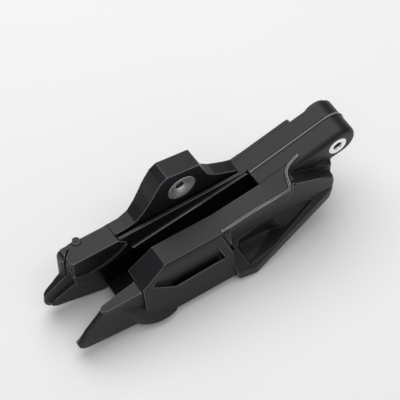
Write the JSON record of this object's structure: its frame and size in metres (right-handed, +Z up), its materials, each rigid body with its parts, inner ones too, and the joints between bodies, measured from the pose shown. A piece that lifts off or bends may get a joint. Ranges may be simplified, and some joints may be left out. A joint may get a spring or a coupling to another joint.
{
  "type": "motorcycle chain guide",
  "caption": "Open-topped moulded cage with a wear pad that keeps a motorcycle chain in line, with two metal bolt collars.",
  "frame": {"origin": "middle of the front bolt collar, on its axis", "axes": "+X along the chain run, from the rear prongs to the front lug; Y along the bolt axes, -Y is the side the collar flanges face; +Z up"},
  "size_m": [0.2386, 0.0644, 0.0915],
  "materials": {
    "carrier": "satin mould finish",
    "pad": "dull",
    "collar": "turned"
  },
  "bodies": {
    "root": {"carrier": "carrier", "pad": "pad", "front_bush": "collar", "ear_bush": "collar"}
  },
  "joints": []
}
